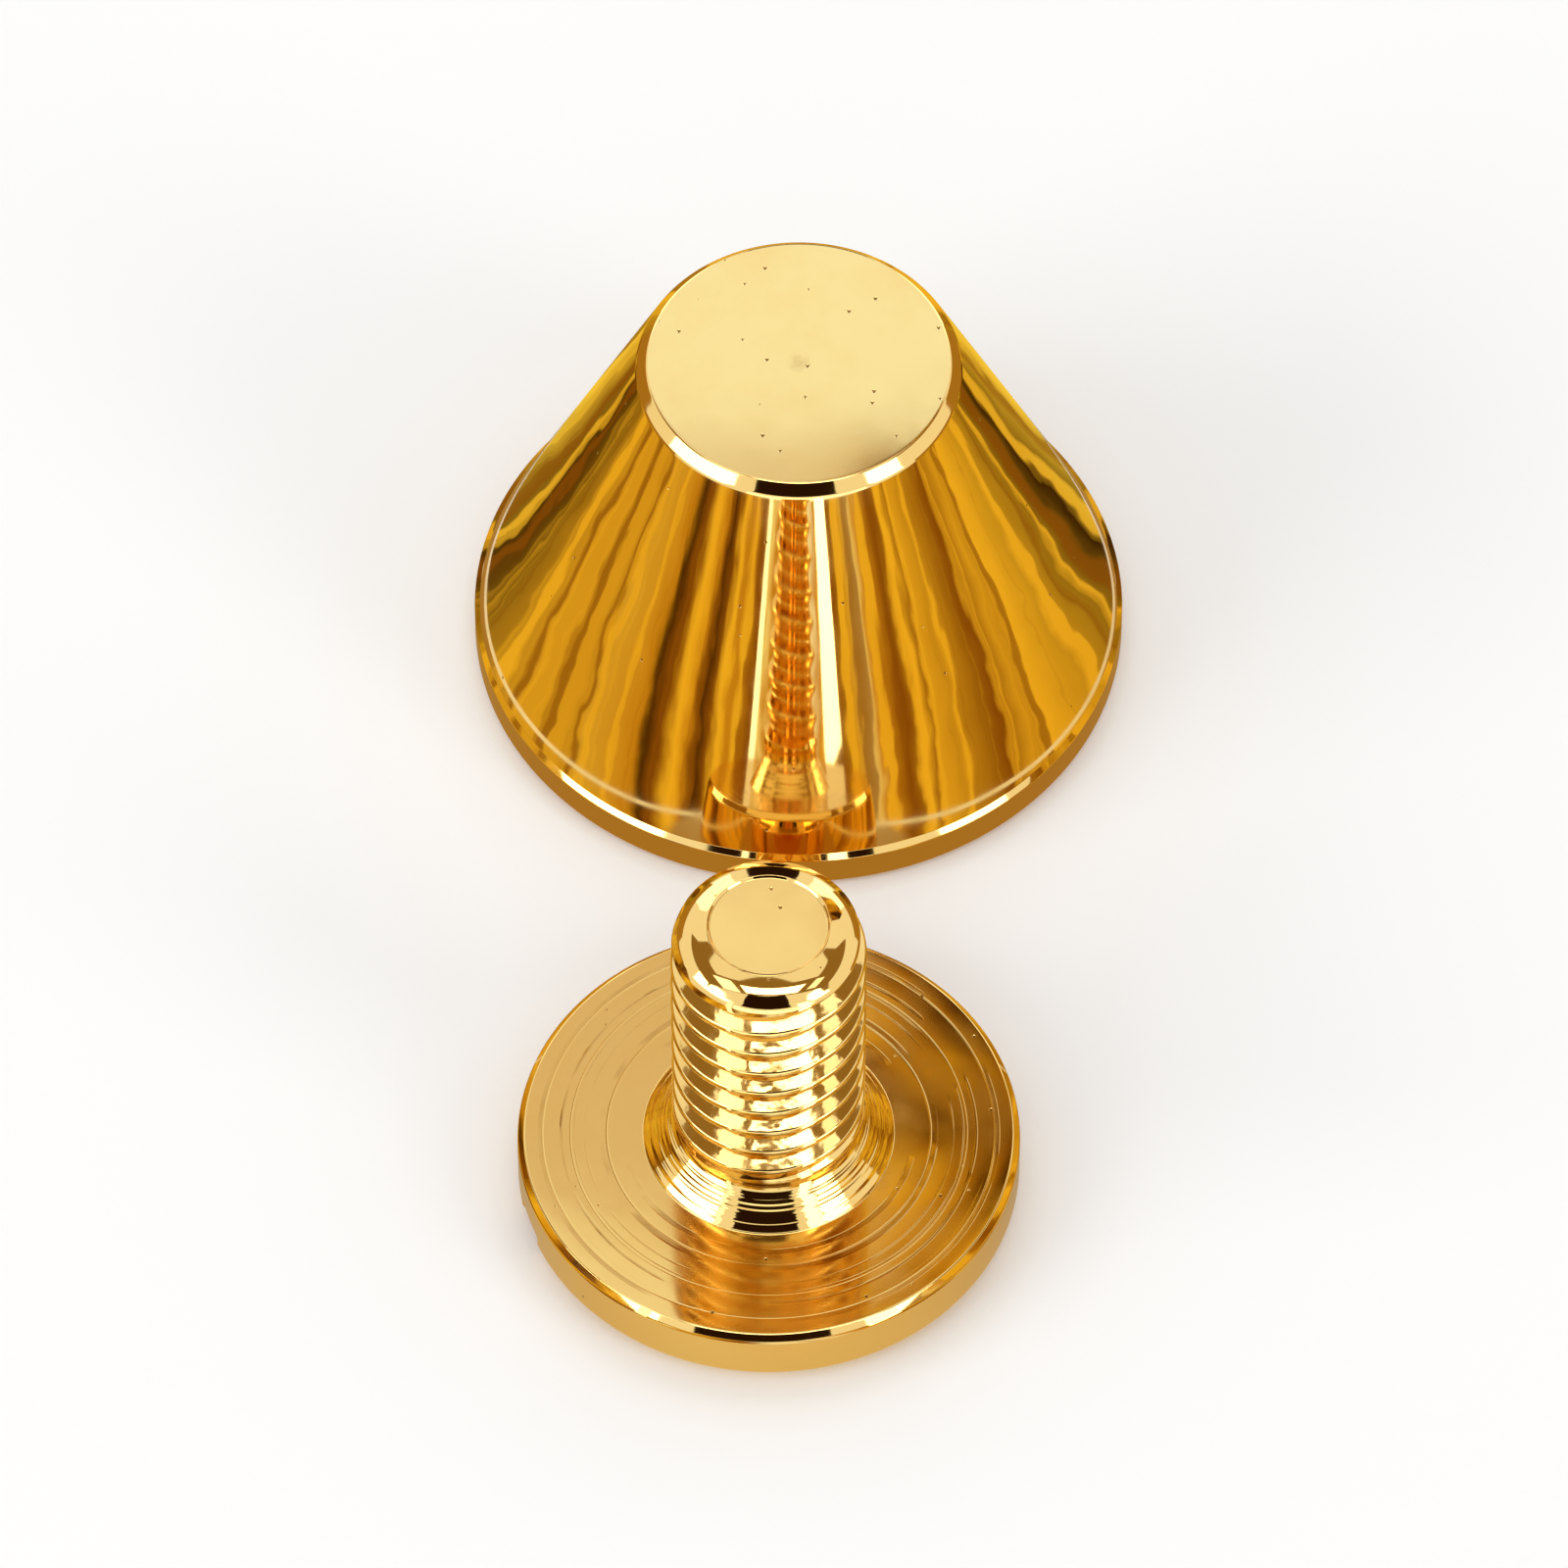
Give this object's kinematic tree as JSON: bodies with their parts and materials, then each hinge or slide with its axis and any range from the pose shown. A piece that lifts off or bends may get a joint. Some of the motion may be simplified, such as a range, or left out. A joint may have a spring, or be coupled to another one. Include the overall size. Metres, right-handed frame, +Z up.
{
  "type": "screw back stud",
  "caption": "Cone stud with a countersunk blind threaded base, and the slotted disc-head screw that fastens it from behind, stood side by side.",
  "frame": {"origin": "on the ground plane, at the middle of the pair's footprint", "axes": "+Z up, along the axes of the stud and the screw; Y runs from the screw (-Y) to the stud (+Y)"},
  "size_m": [0.012, 0.0228, 0.0078],
  "materials": {
    "polished_gold": "mirror-polished gold plating over brass",
    "polished_gold_screw": "bright gold plating over turned brass"
  },
  "bodies": {
    "root": {"cone_stud": "polished_gold", "slotted_screw": "polished_gold_screw"}
  },
  "joints": []
}
